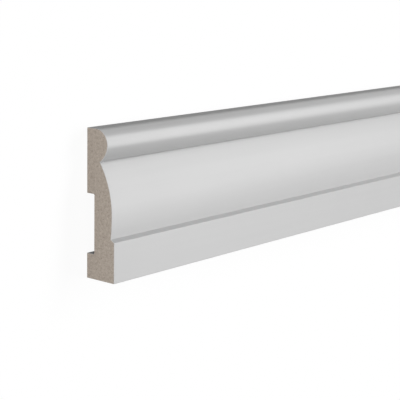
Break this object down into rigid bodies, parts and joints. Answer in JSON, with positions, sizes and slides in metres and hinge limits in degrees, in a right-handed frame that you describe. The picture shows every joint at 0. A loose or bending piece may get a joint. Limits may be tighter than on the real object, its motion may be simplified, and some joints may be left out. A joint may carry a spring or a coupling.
{
  "type": "skirting board length",
  "caption": "Straight moulded skirting board with a beaded top edge, a broad convex face, a chamfered plinth and a shallow cable channel along its back.",
  "frame": {"origin": "on the floor under the middle of the board, which lies on its back", "axes": "+X along the length, +Y across the board from its plain bottom edge to its beaded top edge, +Z from the flat back to the moulded face"},
  "size_m": [2.4, 0.073, 0.018],
  "materials": {
    "primed_mdf": "satin off-white primer on all long faces; the two sawn ends are bare tan fibreboard"
  },
  "bodies": {
    "root": {"skirting_board": "primed_mdf"}
  },
  "joints": []
}
